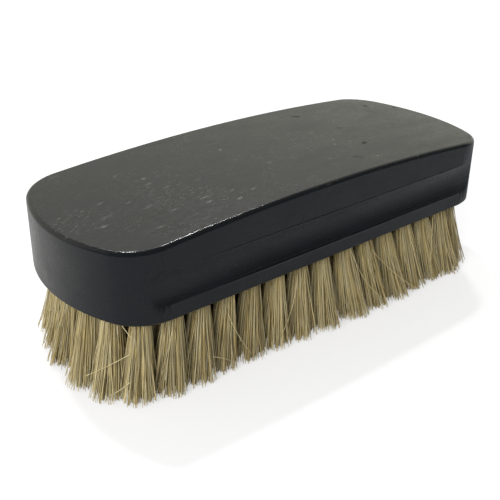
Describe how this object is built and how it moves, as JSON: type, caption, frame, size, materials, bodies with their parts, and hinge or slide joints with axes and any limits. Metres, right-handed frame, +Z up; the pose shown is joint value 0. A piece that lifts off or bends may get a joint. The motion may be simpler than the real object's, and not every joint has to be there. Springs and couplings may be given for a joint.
{
  "type": "shoe shine brush",
  "caption": "Hand brush: a crowned, lacquered wooden block with round ends and a finger cove along each long side, set with tufts of natural bristle trimmed flat.",
  "frame": {"origin": "on the floor plane of the trimmed bristle tips, under the middle of the block", "axes": "+X along the length of the block, +Y across it, +Z up from the bristle tips to the crowned top"},
  "size_m": [0.1526, 0.0608, 0.0498],
  "materials": {
    "black_lacquer": "black lacquer on close-grained wood, satin",
    "bristle": "natural straw-coloured bristle",
    "anchor_wire": "flat drawn wire"
  },
  "bodies": {
    "root": {"block": "black_lacquer", "tufts_01": "bristle", "tufts_02": "bristle", "tufts_03": "bristle", "tufts_04": "bristle", "tufts_05": "bristle", "tufts_06": "bristle", "tufts_07": "bristle", "tufts_08": "bristle", "tufts_09": "bristle", "tufts_10": "bristle", "tufts_11": "bristle", "tufts_12": "bristle", "tufts_13": "bristle", "tufts_14": "bristle", "tufts_15": "bristle", "anchors_01": "anchor_wire", "anchors_02": "anchor_wire", "anchors_03": "anchor_wire", "anchors_04": "anchor_wire", "anchors_05": "anchor_wire", "anchors_06": "anchor_wire", "anchors_07": "anchor_wire", "anchors_08": "anchor_wire", "anchors_09": "anchor_wire", "anchors_10": "anchor_wire", "anchors_11": "anchor_wire", "anchors_12": "anchor_wire", "anchors_13": "anchor_wire", "anchors_14": "anchor_wire", "anchors_15": "anchor_wire"}
  },
  "joints": []
}
